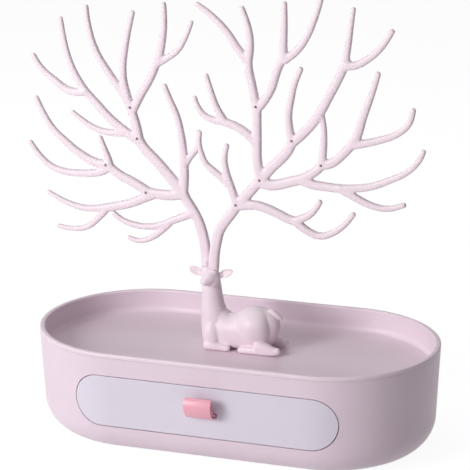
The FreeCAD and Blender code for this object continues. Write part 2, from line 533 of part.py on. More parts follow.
def antler(limbs, studs, plane_y, pedicle):
    """One flat antler: tapered limbs that run into each other, stud holes at forks, and its peg."""
    frame = (Vector(0, plane_y, FLOOR_Z), X, Z, Y)
    parts = []
    for (root_width, tip_width), points in limbs:
        depth = min(root_width, ANTLER_DEPTH)
        parts.append(strip(points, root_width, tip_width, frame, depth, tip_width * BEVEL_SHARE))
    for x, h in studs:
        parts.append(stud_boss(Vector(x, plane_y, FLOOR_Z + h)))
    px, py = pedicle
    seat = FLOOR_Z + PEDICLE_HEIGHT
    parts.append(rod(2.4, Vector(px, py, seat + SEAT_GAP), Vector(px, py, seat + 4.0)))
    parts.append(rod(PEG_RADIUS, Vector(px, py, seat - PEG_LENGTH), Vector(px, py, seat + 3.0)))
    shape = fused(parts)
    for x, h in studs:
        at = Vector(x, plane_y, FLOOR_Z + h)
        shape = shape.cut(rod(STUD_HOLE_RADIUS, at - Y * 9, at + Y * 9))
    return shape


# ---------------------------------------------------------------- places that several pieces share
DEER_SCREWS_X = (-13.0, 12.0)
FRONT_SCREWS_X = (-50.0, 50.0)
BOX_FRONT_INSIDE = -WIDTH / 2 + FRONT_THICK + 4.8
TAB_PIVOT_Y = -WIDTH / 2 + 0.1
TAB_PIN_Y = BOX_FRONT_INSIDE + TAB_PIN_RADIUS + TAB_LAYER + 0.15
LEFT_PEDICLE = (HEAD_X - 4.25, DEER_Y + 2.6)
RIGHT_PEDICLE = (HEAD_X + 2.55, DEER_Y - 2.6)
PEDICLES = (LEFT_PEDICLE, RIGHT_PEDICLE)


def main():
    """Build every piece and write one STEP file each."""
    pieces = {
        "outer_shell": outer_shell(),
        "tray_insert": tray_insert(),
        "tray_screws": tray_screws(),
        "drawer_front": drawer_front(),
        "drawer_box": drawer_box(),
        "drawer_front_screws": drawer_front_screws(),
        "pull_tab": pull_tab(),
        "tab_root": tab_root(),
        "tab_pin": tab_pin(),
        "deer_body": deer_body(),
        "deer_screws": deer_screws(),
        "antler_left": antler(LEFT_LIMBS, LEFT_STUDS, DEER_Y + ANTLER_STAGGER, LEFT_PEDICLE),
        "antler_right": antler(RIGHT_LIMBS, RIGHT_STUDS, DEER_Y - ANTLER_STAGGER, RIGHT_PEDICLE),
    }
    for (x, y), name in zip(POSTS, ("front_left", "rear_left", "front_right", "rear_right")):
        pieces["foot_" + name] = foot(x, y)
    os.makedirs("parts", exist_ok=True)
    for name, shape in pieces.items():
        shape.exportStep("parts/" + name + ".step")
        print(name, "solids", len(shape.Solids), "valid", shape.isValid(), "volume", round(shape.Volume))


main()
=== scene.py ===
import json
import logging
import math
from dataclasses import dataclass
from enum import Enum
from functools import partial
from typing import Any, Callable, Dict, List, Optional, Sequence, Tuple

import bpy
from mathutils import Matrix, Vector

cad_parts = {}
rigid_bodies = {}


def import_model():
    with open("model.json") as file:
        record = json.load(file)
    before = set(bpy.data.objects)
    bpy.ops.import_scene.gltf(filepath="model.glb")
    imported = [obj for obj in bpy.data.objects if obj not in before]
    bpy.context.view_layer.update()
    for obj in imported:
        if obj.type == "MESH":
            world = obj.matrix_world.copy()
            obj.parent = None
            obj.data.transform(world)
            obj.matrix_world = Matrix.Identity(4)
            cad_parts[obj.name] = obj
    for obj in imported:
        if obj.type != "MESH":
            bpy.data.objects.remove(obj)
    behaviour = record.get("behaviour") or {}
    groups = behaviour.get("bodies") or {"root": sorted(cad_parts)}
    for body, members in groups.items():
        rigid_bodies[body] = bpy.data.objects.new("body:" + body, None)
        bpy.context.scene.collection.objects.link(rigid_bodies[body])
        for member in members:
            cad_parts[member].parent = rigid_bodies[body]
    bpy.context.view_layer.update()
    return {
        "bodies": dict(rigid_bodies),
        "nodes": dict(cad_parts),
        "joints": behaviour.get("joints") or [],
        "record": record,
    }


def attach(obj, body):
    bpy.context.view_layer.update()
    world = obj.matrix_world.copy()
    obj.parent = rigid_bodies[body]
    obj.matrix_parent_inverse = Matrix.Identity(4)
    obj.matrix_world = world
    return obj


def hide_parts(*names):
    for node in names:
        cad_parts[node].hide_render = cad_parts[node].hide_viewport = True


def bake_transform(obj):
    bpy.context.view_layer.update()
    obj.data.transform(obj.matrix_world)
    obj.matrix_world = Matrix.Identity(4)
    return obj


# The looks of a jewelry stand: a stadium-shaped base with a tray and a drawer, a lying deer in the
# tray, and two flat, branching antlers.  The CAD model is the frame that every piece is built round.
# Sizes in this file are millimetres, and MM turns them into Blender's metres.  Only the camera's clip
# distances are in metres already.

LOG = logging.getLogger("stand")
MM = 0.001
FLOOR_HEIGHT = 50.5          # the tray's floor, above the base's underside
GROUND = -1.2                # the surface that the feet stand on
DEER_Y = 7.0                 # the deer's middle plane
PEDICLE_HEIGHT = 50.0        # above the tray's floor, where the antlers plug in
LEFT_PEDICLE = (-23.0, 2.6)  # x, and y from the deer's middle plane
RIGHT_PEDICLE = (-16.2, -2.6)
ANTLER_OFFSET = 3.0          # from the deer's middle plane to each antler's own
COLOUR_SHARE, COLOUR_FIRST, COLOUR_SECOND, COLOUR_MIXED = 0, 6, 7, 2   # the Mix node's colour sockets


class Slot(Enum):
    """The record's material slots."""

    SHELL = "shell_plastic"
    TRAY = "tray_plastic"
    FIGURE = "figure_plastic"
    DRAWER = "drawer_plastic"
    STRAP = "tab_strap"
    STEEL = "screw_steel"
    FOOT = "foot_rubber"


class Body(Enum):
    """The bodies that move as one."""

    BASE = "base"
    DRAWER = "drawer"
    TAB = "tab"
    LEFT_ANTLER = "left_antler"
    RIGHT_ANTLER = "right_antler"


# ---------------------------------------------------------------- shader maths
class Wire:
    """A shader socket, or a number, on which sums and products add Math nodes."""

    def __init__(self, graph: "Graph", socket: Any) -> None:
        """Keep the graph that the socket belongs to."""
        self.graph = graph
        self.socket = socket

    def _maths(self, operation: str, first: Any, second: Any) -> "Wire":
        """Add one Math node."""
        return self.graph.node("ShaderNodeMath", {"operation": operation}, {0: first, 1: second}).wire(0)

    def __add__(self, other: Any) -> "Wire":
        """Add."""
        return self._maths("ADD", self, other)

    def __sub__(self, other: Any) -> "Wire":
        """Subtract."""
        return self._maths("SUBTRACT", self, other)

    def __mul__(self, other: Any) -> "Wire":
        """Multiply."""
        return self._maths("MULTIPLY", self, other)

    __radd__ = __add__


class Node:
    """A shader node whose outputs are read as wires."""

    def __init__(self, graph: "Graph", node: Any) -> None:
        """Keep the node."""
        self.graph = graph
        self.node = node

    def wire(self, output: Any = 0) -> Wire:
        """Return one output."""
        return Wire(self.graph, self.node.outputs[output])


class Graph:
    """A node tree under construction."""

    def __init__(self, tree: Any) -> None:
        """Start from an empty tree."""
        self.tree = tree
        tree.nodes.clear()

    def node(self, kind: str, settings: Optional[Dict[str, Any]] = None,
             values: Optional[Dict[Any, Any]] = None) -> Node:
        """Add a node.

        Args:
            kind: the node's type.
            settings: its own settings, such as an operation, which are set first.
            values: what goes into its sockets, a number, a colour or a Wire.

        Returns:
            The node.
        """
        made = self.tree.nodes.new(kind)
        for name, value in (settings or {}).items():
            setattr(made, name, value)
        for name, value in (values or {}).items():
            if isinstance(value, Wire):
                self.tree.links.new(value.socket, made.inputs[name])
            else:
                made.inputs[name].default_value = value
        return Node(self, made)

    def mix(self, share: Any, first: Any, second: Any) -> Wire:
        """Mix two colours."""
        values = {COLOUR_SHARE: share, COLOUR_FIRST: first, COLOUR_SECOND: second}
        return self.node("ShaderNodeMix", {"data_type": "RGBA"}, values).wire(COLOUR_MIXED)

    def noise(self, place: Wire, scale: float, detail: float, roughness: float) -> Wire:
        """Add a noise texture over a place."""
        return self.node("ShaderNodeTexNoise", None, {
            "Vector": place, "Scale": scale, "Detail": detail, "Roughness": roughness}).wire(0)


def linear(red: float, green: float, blue: float) -> Tuple[float, float, float, float]:
    """Turn a colour as it is seen, 0 to 255, into Blender's linear values.

    Args:
        red, green, blue: its channels.

    Returns:
        The four channels of a linear colour.
    """
    def channel(value: float) -> float:
        """One channel."""
        share = value / 255
        return share / 12.92 if share <= 0.04045 else ((share + 0.055) / 1.055) ** 2.4
    return channel(red), channel(green), channel(blue), 1.0


# ---------------------------------------------------------------- finishes
@dataclass(frozen=True)
class Finish:
    """A moulded or machined surface.

    colour and second are the two shades that drift over the surface, as seen, 0 to 255.  drift is the size
    of those patches, grain the size of the mould's fine texture and grain_height its depth, in millimetres.
    mist is how much finer the roughness varies than the colour.  edge is the radius that sharp edges seem
    to be rounded with.
    """

    name: str
    slot: Slot
    colour: Tuple[float, float, float]
    second: Tuple[float, float, float]
    roughness: float
    drift: float = 35.0
    roughness_drift: float = 0.06
    grain: float = 0.45
    grain_height: float = 0.006
    metallic: float = 0.0
    coat: float = 0.0
    coat_roughness: float = 0.12
    specular: float = 0.5
    mist: float = 4.3
    edge: float = 0.0
    edge_samples: int = 6

    def material(self) -> Any:
        """Return the material, made once.

        Returns:
            Blender's material, with its node tree.
        """
        known = bpy.data.materials.get(self.name)
        if known:
            return known
        made = bpy.data.materials.new(self.name)
        made.use_nodes = True
        graph = Graph(made.node_tree)
        place = graph.node("ShaderNodeTexCoord").wire("Object")
        cloud = graph.noise(place, 1 / (self.drift * MM), detail=3.0, roughness=0.5)
        mist = graph.noise(place, self.mist / (self.drift * MM), detail=4.0, roughness=0.6)
        grain = graph.noise(place, 1 / (self.grain * MM), detail=2.0, roughness=0.6)
        colour = graph.mix(cloud, linear(*self.colour), linear(*self.second))
        relief = {"Strength": 1.0, "Distance": self.grain_height * MM, "Height": grain}
        if self.edge > 0:
            rounded = graph.node("ShaderNodeBevel", {"samples": self.edge_samples},
                                 {"Radius": self.edge * MM})
            relief["Normal"] = rounded.wire(0)
        bump = graph.node("ShaderNodeBump", None, relief).wire(0)
        shader = graph.node("ShaderNodeBsdfPrincipled", None, {
            "Base Color": colour,
            "Roughness": self.roughness + (mist - 0.5) * self.roughness_drift,
            "Metallic": self.metallic,
            "Specular IOR Level": self.specular,
            "Coat Weight": self.coat,
            "Coat Roughness": self.coat_roughness,
            "Normal": bump})
        graph.node("ShaderNodeOutputMaterial", None, {"Surface": shader.wire(0)})
        return made


BODY_PLASTIC = Finish("pink_lilac_shell", Slot.SHELL, (226, 209, 221), (222, 204, 217),
                      roughness=0.42, coat=0.05)
TRAY_PLASTIC = Finish("pink_lilac_tray", Slot.TRAY, (232, 215, 226), (228, 210, 222),
                      roughness=0.40, coat=0.05)
FIGURE_PLASTIC = Finish("pink_figure", Slot.FIGURE, (244, 229, 237), (240, 223, 232),
                        roughness=0.40, grain=0.6, grain_height=0.004, specular=0.38)
DRAWER_PLASTIC = Finish("pale_lilac_drawer", Slot.DRAWER, (219, 213, 225), (215, 208, 221),
                        roughness=0.40, coat=0.05, edge=0.6)
STRAP_RUBBER = Finish("rose_strap", Slot.STRAP, (238, 172, 188), (233, 162, 180),
                      roughness=0.44, drift=12.0, grain=0.3, grain_height=0.01, coat=0.25)
SCREW_STEEL = Finish("zinc_screw", Slot.STEEL, (196, 196, 200), (176, 177, 183),
                     roughness=0.32, drift=4.0, roughness_drift=0.15, grain=0.2, metallic=1.0)
FOOT_RUBBER = Finish("grey_pink_rubber", Slot.FOOT, (190, 178, 184), (178, 166, 173),
                     roughness=0.8, drift=6.0, grain=0.25, grain_height=0.03)


# ---------------------------------------------------------------- modelling helpers
BALL_SEGMENTS, BALL_RINGS = 32, 20
CURVE_STEPS = 8              # between two points of a curve
LIMB_ROUNDNESS = 14          # the bevel resolution of a round limb
HOOP_POINTS = 24             # round one ring of a bridged form
FORM_LEVELS = 2              # of subdivision
FACES_OUT = partial(bpy.ops.mesh.normals_make_consistent, inside=False)


def alone(piece: Any) -> None:
    """Select one object and make it active.

    Args:
        piece: the object.
    """
    bpy.ops.object.select_all(action="DESELECT")
    piece.select_set(True)
    bpy.context.view_layer.objects.active = piece


def added(name: str) -> Any:
    """Name the object that an operator has just added.

    Args:
        name: its new name.

    Returns:
        The object.
    """
    piece = bpy.context.active_object
    piece.name = name
    return piece


def settle(piece: Any) -> Any:
    """Put an object's place, turn and size into its mesh.

    Args:
        piece: the object.

    Returns:
        The same object.
    """
    alone(piece)
    bpy.ops.object.transform_apply(location=True, rotation=True, scale=True)
    return piece


def posed(piece: Any, middle: Vector, axes: Sequence[Vector], sizes: Sequence[float]) -> Any:
    """Stretch a unit piece along three axes and settle it.

    Args:
        piece: the object, one unit in size, round the origin.
        middle: where its middle goes.
        axes: the directions of its own X, Y and Z.
        sizes: its sizes along them.

    Returns:
        The same object.
    """
    piece.matrix_world = Matrix.Translation(middle * MM) @ Matrix(axes).transposed().to_4x4() @ \
        Matrix.Diagonal((*(size * MM for size in sizes), 1))
    return settle(piece)


def joined(pieces: Sequence[Any], name: str) -> Any:
    """Join objects into one.

    Args:
        pieces: the objects.
        name: the name of what they become.

    Returns:
        The joined object.
    """
    alone(pieces[0])
    for piece in pieces:
        piece.select_set(True)
    bpy.ops.object.join()
    pieces[0].name = name
    return pieces[0]


def modified(piece: Any, kind: str, **settings: Any) -> Any:
    """Add one modifier and apply it.

    Args:
        piece: the object.
        kind: the modifier's type.
        settings: its own settings.

    Returns:
        The same object.
    """
    alone(piece)
    modifier = piece.modifiers.new(kind.lower(), kind)
    for key, value in settings.items():
        setattr(modifier, key, value)
    bpy.ops.object.modifier_apply(modifier=modifier.name)
    return piece


def edited(piece: Any, *steps: Callable[[], Any]) -> Any:
    """Run operators in edit mode, each on the whole mesh.

    Args:
        piece: the mesh object.
        steps: the operators, with what they need bound to them.

    Returns:
        The same object.
    """
    alone(piece)
    bpy.ops.object.mode_set(mode="EDIT")
    for step in steps:
        bpy.ops.mesh.select_all(action="SELECT")
        step()
    bpy.ops.object.mode_set(mode="OBJECT")
    return piece


def carve(piece: Any, cutter: Any) -> None:
    """Take one object's shape out of another and delete it.

    Args:
        piece: the object that is cut.
        cutter: the object that is taken out of it.
    """
    modified(piece, "BOOLEAN", operation="DIFFERENCE", object=cutter, solver="EXACT")
    bpy.data.objects.remove(cutter)


def smooth(piece: Any, degrees: float) -> Any:
    """Shade a piece smooth, up to an angle.

    Args:
        piece: the object.
        degrees: edges sharper than this stay sharp.

    Returns:
        The same object.
    """
    alone(piece)
    bpy.ops.object.shade_smooth_by_angle(angle=math.radians(degrees))
    return piece


def ball(name: str, middle: Sequence[float], radii: Sequence[float]) -> Any:
    """Add an ellipsoid with three half sizes.

    Args:
        name: its name.
        middle: its middle.
        radii: its three half sizes.

    Returns:
        The object.
    """
    bpy.ops.mesh.primitive_uv_sphere_add(segments=BALL_SEGMENTS, ring_count=BALL_RINGS, radius=1.0,
                                         location=[v * MM for v in middle])
    piece = added(name)
    piece.scale = [v * MM for v in radii]
    return settle(piece)


def rod(name: str, start: Sequence[float], end: Sequence[float], radius: float, sides: int = 32) -> Any:
    """Add a cylinder between two points.

    Args:
        name: its name.
        start: the middle of one end.
        end: the middle of the other.
        radius: its radius.
        sides: how many sides stand for round.

    Returns:
        The object.
    """
    first, last = Vector(start) * MM, Vector(end) * MM
    way = last - first
    bpy.ops.mesh.primitive_cylinder_add(vertices=sides, radius=radius * MM, depth=way.length,
                                        location=(first + last) / 2,
                                        rotation=way.to_track_quat("Z", "Y").to_euler())
    return settle(added(name))


def line_object(name: str, points: Sequence[Tuple[Vector, float]], flat: bool) -> Any:
    """Add a smooth curve through points, each with its radius.

    Args:
        name: its name.
        points: places in metres, and radii.
        flat: True for a curve that stays in its own XY plane.

    Returns:
        The curve's object.
    """
    data = bpy.data.curves.new(name, "CURVE")
    data.dimensions = "2D" if flat else "3D"
    data.resolution_u = CURVE_STEPS
    data.use_fill_caps = True
    spline = data.splines.new("BEZIER")
    spline.bezier_points.add(len(points) - 1)
    for knot, (place, radius) in zip(spline.bezier_points, points):
        knot.co = place
        knot.radius = radius
        knot.handle_left_type = knot.handle_right_type = "AUTO"
    piece = bpy.data.objects.new(name, data)
    bpy.context.scene.collection.objects.link(piece)
    return piece


def as_mesh(piece: Any) -> Any:
    """Turn a curve object into a mesh object.

    Args:
        piece: the curve object.

    Returns:
        The mesh object.
    """
    alone(piece)
    bpy.ops.object.convert(target="MESH")
    return bpy.context.active_object


def chain(name: str, stations: Sequence[Sequence[float]]) -> Any:
    """Add a round limb through stations of (x, y, z, radius), with round ends.

    Args:
        name: its name.
        stations: the stations, from end to end.

    Returns:
        The limb.
    """
    points = [(Vector(s[:3]) * MM, s[3]) for s in stations]
    curve = line_object(name, points, flat=False)
    curve.data.bevel_depth = MM
    curve.data.bevel_resolution = LIMB_ROUNDNESS
    ends = [ball(name + "_end", s[:3], [s[3]] * 3) for s in (stations[0], stations[-1])]
    return joined([as_mesh(curve)] + ends, name)


@dataclass(frozen=True)
class Ring:
    """An oval ring of a rounded form: its middle, and its half sizes along and square to a side."""

    x: float
    y: float
    height: float
    wide: float
    tall: float


def form(name: str, rings: Sequence[Ring], side: Sequence[float] = (0, 1, 0)) -> Any:
    """Bridge oval rings, which face along the line of their middles, into a closed rounded form.

    Args:
        name: its name.
        rings: the rings, from end to end.
        side: the direction of the rings' wide half sizes.

    Returns:
        The form, closed at both ends.
    """
    spots = [Vector((ring.x, ring.y, ring.height)) for ring in rings]
    hoops = []
    for i, ring in enumerate(rings):
        way = (spots[min(i + 1, len(spots) - 1)] - spots[max(i - 1, 0)]).normalized()
        up = way.cross(Vector(side)).normalized()
        across = up.cross(way)
        bpy.ops.mesh.primitive_circle_add(vertices=HOOP_POINTS, radius=1.0, fill_type="NOTHING")
        hoops.append(posed(added(name), spots[i], (across, up, way), (ring.wide, ring.tall, 1)))
    piece = edited(joined(hoops, name), bpy.ops.mesh.bridge_edge_loops,
                   partial(bpy.ops.mesh.fill_holes, sides=0), FACES_OUT)
    return modified(piece, "SUBSURF", levels=FORM_LEVELS, render_levels=FORM_LEVELS)


# ---------------------------------------------------------------- screws
@dataclass(frozen=True)
class Screw:
    """A pan-head screw with a cross recess.

    head and shank are radii.  rounding and overlap are shares of the head's height, recess_reach and
    recess_width shares of its radius.
    """

    name: str
    head: float
    height: float
    shank: float
    length: float
    head_sides: int = 40
    shank_sides: int = 24
    rounding: float = 0.4
    recess_reach: float = 1.1
    recess_width: float = 0.26
    overlap: float = 0.3

    def build(self, seat: Vector, way: Vector) -> Any:
        """Model the screw.

        Args:
            seat: the middle of the head's bearing face.
            way: the direction of the shank.

        Returns:
            The screw.
        """
        top = seat - way * self.height
        cap = rod(self.name, top, seat, self.head, self.head_sides)
        modified(cap, "BEVEL", width=self.height * self.rounding * MM, segments=3, limit_method="ANGLE")
        side = Vector((1, 0, 0)) if abs(way.x) < 0.5 else Vector((0, 0, 1))
        for turn in (0, 90):
            arm = Matrix.Rotation(math.radians(turn), 3, way) @ side
            bpy.ops.mesh.primitive_cube_add(size=1.0)
            carve(cap, posed(added("recess"), top, (arm, way.cross(arm), way),
                             (self.head * self.recess_reach, self.head * self.recess_width, self.height)))
        stem = rod(self.name + "_shank", seat - way * self.height * self.overlap, seat + way * self.length,
                   self.shank, self.shank_sides)
        return joined([cap, stem], self.name)


TRAY_SCREW = Screw("tray_screw", head=2.8, height=2.0, shank=1.45, length=13.0)
DEER_SCREW = Screw("deer_screw", head=2.8, height=1.3, shank=1.45, length=9.6)
FRONT_SCREW = Screw("front_screw", head=2.2, height=1.4, shank=1.05, length=4.2)


# ---------------------------------------------------------------- base and drawer
@dataclass
class Base:
    """The shell, the tray insert, their screws and the feet."""

    frame: Dict[str, Any]
    screw_places: Tuple[Tuple[float, float], ...] = ((-88, -20), (-88, 20), (88, -20), (88, 20))
    screw_seat: float = 16.0
    deer_screw_x: Tuple[float, float] = (-13.0, 12.0)
    deer_screw_seat: float = FLOOR_HEIGHT - 1.6

    def dress(self) -> None:
        """Give the base's pieces their finishes."""
        dress(self.frame["nodes"]["outer_shell"], BODY_PLASTIC)
        dress(self.frame["nodes"]["tray_insert"], TRAY_PLASTIC)
        for side in ("left", "right"):
            for end in ("front", "rear"):
                dress(self.frame["nodes"][f"foot_{end}_{side}"], FOOT_RUBBER)

    def screws(self) -> List[Any]:
        """Model the screws that hold the tray and the deer.

        Returns:
            The two sets of screws.
        """
        up = Vector((0, 0, 1))
        tray = [TRAY_SCREW.build(Vector((x, y, self.screw_seat)), up) for x, y in self.screw_places]
        deer = [DEER_SCREW.build(Vector((x, DEER_Y, self.deer_screw_seat)), up) for x in self.deer_screw_x]
        return [placed(joined(tray, "tray_screw_set"), Body.BASE, SCREW_STEEL, "tray_screws"),
                placed(joined(deer, "deer_screw_set"), Body.BASE, SCREW_STEEL, "deer_screws")]


@dataclass
class Drawer:
    """The box, its front plate, the two screws and the strap's pin."""

    frame: Dict[str, Any]
    screw_x: Tuple[float, float] = (-50.0, 50.0)
    centre_height: float = 34.5
    box_front_inside: float = -57.2

    def dress(self) -> None:
        """Give the drawer's pieces their finishes."""
        for name in ("drawer_box", "drawer_front"):
            dress(self.frame["nodes"][name], DRAWER_PLASTIC)
        dress(self.frame["nodes"]["tab_pin"], SCREW_STEEL)

    def screws(self) -> Any:
        """Model the screws that hold the front plate.

        Returns:
            The set of screws.
        """
        forward = Vector((0, -1, 0))
        pair = [FRONT_SCREW.build(Vector((x, self.box_front_inside, self.centre_height)), forward)
                for x in self.screw_x]
        return placed(joined(pair, "front_screw_set"), Body.DRAWER, SCREW_STEEL, "drawer_front_screws")


@dataclass
class PullStrap:
    """The soft strap: one folded band through the slot, which bends where it leaves the plate.

    front, rear and fold are points of the band's middle line, (y, height above the slot).
    """

    width: float = 16.4
    thickness: float = 1.05
    slot_height: float = 33.0
    pin_y: float = -54.6
    pin_radius: float = 1.25
    front: Tuple[Tuple[float, float], ...] = (
        (-57.5, -0.66), (-62.0, -0.64), (-64.9, -0.63), (-68.3, 0.3), (-71.4, 3.4), (-73.0, 6.8),
        (-72.8, 9.6), (-71.5, 11.8))
    rear: Tuple[Tuple[float, float], ...] = (
        (-70.3, 10.6), (-71.1, 8.9), (-71.4, 6.9), (-69.9, 4.4), (-67.2, 2.0), (-64.9, 0.75),
        (-62.0, 0.64), (-57.5, 0.66))
    fold: Tuple[float, float] = (-70.5, 12.1)
    weld: float = 0.02
    rounding: float = 0.3
    sharp_angle: float = 50.0

    def build(self) -> Any:
        """Model the strap and hide the CAD tab that it stands for.

        Returns:
            The strap.
        """
        around_pin = (math.radians(degrees) for degrees in range(120, -121, -40))
        turn = [(self.pin_y + self.pin_ring * math.cos(angle), self.pin_ring * math.sin(angle))
                for angle in around_pin]
        path = list(self.front) + [self.fold] + list(self.rear) + turn + [self.front[0]]
        points = [(Vector((y, z, 0)) * MM, 1.0) for y, z in path]
        curve = line_object("pull_strap", points, flat=True)
        curve.data.use_fill_caps = False
        curve.data.fill_mode = "NONE"
        curve.data.extrude = self.width / 2 * MM
        band = as_mesh(curve)
        band.matrix_world = Matrix(
            ((0, 0, 1, 0), (1, 0, 0, 0), (0, 1, 0, self.slot_height * MM), (0, 0, 0, 1)))
        edited(settle(band), partial(bpy.ops.mesh.remove_doubles, threshold=self.weld * MM), FACES_OUT)
        modified(band, "SOLIDIFY", thickness=self.thickness * MM, offset=0.0)
        modified(band, "BEVEL", width=self.rounding * MM, segments=3, limit_method="ANGLE",
                 angle_limit=math.radians(self.sharp_angle))
        smooth(band, self.sharp_angle)
        dress(band, STRAP_RUBBER)
        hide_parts("pull_tab", "tab_root")
        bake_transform(band)
        return band

    @property
    def pin_ring(self) -> float:
        """The radius of the band's middle line round the pin."""
        return self.pin_radius + self.thickness / 2


# ---------------------------------------------------------------- deer
@dataclass
class Deer:
    """The lying deer: rounded forms that run into each other, ears with raised rims, peg holes.

    Places are (x, y from the deer's middle plane, height above the tray's floor).  The pedicles are made
    pedicle_spare too high and trimmed flat.  ear_lean is how far an ear points back and up for each step
    outwards, ear_cup how far its middle bulges and ear_setback how far its leaf lies behind the rim.
    """

    voxel: float = 0.36
    smoothing: int = 14
    sharp_angle: float = 70.0
    head_x: float = -18.75
    pedicles: Tuple[Tuple[float, float], ...] = (LEFT_PEDICLE, RIGHT_PEDICLE)
    pedicle_radius: float = 3.05
    pedicle_spare: float = 0.4
    trim_radius: float = 4.0
    trim_height: float = 6.0
    peg_hole: float = 1.7
    peg_depth: float = 8.5
    ear_root: Tuple[float, float, float] = (5.9, -0.6, 45.7)
    ear_lean: Tuple[float, float] = (-0.06, 0.46)
    ear_facing: Tuple[float, float, float] = (0.0, -1.0, 0.25)
    ear_setback: float = 0.15
    ear_length: float = 8.6
    ear_height: float = 2.3
    ear_thickness: float = 0.7
    ear_rim: float = 0.5
    ear_cup: float = 0.5
    ear_steps: int = 24

    def _at(self, place: Sequence[float]) -> List[float]:
        """Turn a place on the deer into one on the stand."""
        return [place[0], place[1] + DEER_Y, place[2] + FLOOR_HEIGHT]

    def _form(self, rings: Sequence[Sequence[float]], side: Sequence[float] = (0, 1, 0)) -> Any:
        """Add a rounded form through rings of (x, y, height, half width, half height)."""
        return form("mass", [Ring(*self._at(ring[:3]), *ring[3:]) for ring in rings], side)

    def _chain(self, stations: Sequence[Sequence[float]]) -> Any:
        """Add a round limb."""
        return chain("limb", [self._at(s[:3]) + [s[3]] for s in stations])

    def trunk(self) -> List[Any]:
        """Model the torso, the haunches, the sweep of the withers and the tail.

        Returns:
            The forms.
        """
        torso = [(-25.2, 0, 12.0, 2.6, 4.2), (-23.4, 0, 12.0, 5.9, 8.4), (-18.5, 0, 12.0, 8.2, 11.3),
                 (-12.0, 0, 11.3, 9.0, 11.6), (-4.0, 0, 10.9, 9.4, 11.1), (3.0, 0, 12.0, 9.6, 12.2),
                 (9.5, 0, 14.2, 9.6, 13.9), (14.5, 0, 14.4, 9.0, 13.6), (19.2, 0, 13.4, 7.2, 11.8),
                 (22.4, 0, 12.6, 5.0, 8.6), (24.2, 0, 12.0, 2.4, 4.2)]
        haunches = [(-2.4, 0, 14.3, 5.6, 4.6), (1.0, 0, 15.0, 9.9, 9.5), (5.3, 0, 15.4, 12.0, 12.3),
                    (9.5, 0, 15.5, 12.8, 12.9), (13.7, 0, 15.2, 12.2, 12.5), (18.0, 0, 14.2, 10.5, 10.5),
                    (21.6, 0, 14.5, 5.6, 4.8)]
        withers = [(-19.0, 0, 21.5, 6.0, 6.5), (-14.5, 0, 19.6, 6.6, 7.0), (-10.5, 0, 16.9, 7.2, 6.5),
                   (-6.0, 0, 14.9, 7.8, 6.2), (-1.0, 0, 14.0, 8.0, 6.2), (4.0, 0, 13.4, 7.0, 5.5)]
        tail = [(17.5, 0, 26.0, 2.0, 1.4), (20.0, 0, 25.4, 2.5, 2.0), (23.0, 0, 23.9, 2.2, 1.9),
                (25.2, 0, 21.9, 1.4, 1.3), (26.7, 0, 20.3, 0.6, 0.6)]
        return [self._form(torso), self._form(haunches), self._form(withers), self._form(tail)]

    def neck(self) -> List[Any]:
        """Model the upright neck and the stubs that carry the antlers.

        Returns:
            The forms.
        """
        neck = [(-15.5, 0, 7.0, 8.0, 9.0), (-16.4, 0, 15.5, 8.2, 9.4), (-17.3, 0, 22.0, 7.6, 8.2),
                (-18.0, 0, 27.0, 6.8, 7.2), (-18.4, 0, 33.0, 6.1, 6.5), (-18.7, 0, 39.0, 5.7, 6.0),
                (-18.9, 0, 43.8, 5.4, 5.6), (-19.0, 0, 47.4, 4.6, 5.0), (-19.1, 0, 49.2, 2.6, 3.0)]
        parts = [self._form(neck)]
        for x, y in self.pedicles:
            low, middle = 0.3 * x + 0.7 * self.head_x, 0.75 * x + 0.25 * self.head_x
            parts.append(self._form([(low, 0.4 * y, 34.0, 3.0, 3.0), (middle, 0.85 * y, 41.0, 4.0, 4.0),
                                     (x, y, 46.0, 3.5, 3.5)]))
            top = PEDICLE_HEIGHT + self.pedicle_spare
            parts.append(rod("pedicle", self._at((x, y, 42)), self._at((x, y, top)), self.pedicle_radius))
        return parts

    def head(self) -> List[Any]:
        """Model the small head, which looks a little to the left, its cheeks and its snout.

        Returns:
            The forms.
        """
        skull = [(-18.4, 4.4, 45.3, 2.2, 2.0), (-18.4, 2.0, 45.3, 4.9, 4.5), (-18.2, -2.2, 45.0, 5.8, 5.4),
                 (-18.6, -5.0, 44.3, 5.1, 4.7), (-19.7, -6.8, 43.6, 3.7, 3.5), (-21.0, -8.6, 43.1, 2.8, 2.6),
                 (-21.8, -9.9, 42.9, 1.8, 1.7)]
        cheek = ball("mass", self._at((-16.6, -3.0, 43.6)), (4.6, 4.2, 4.7))
        return [self._form(skull, (1, 0, 0)), cheek]

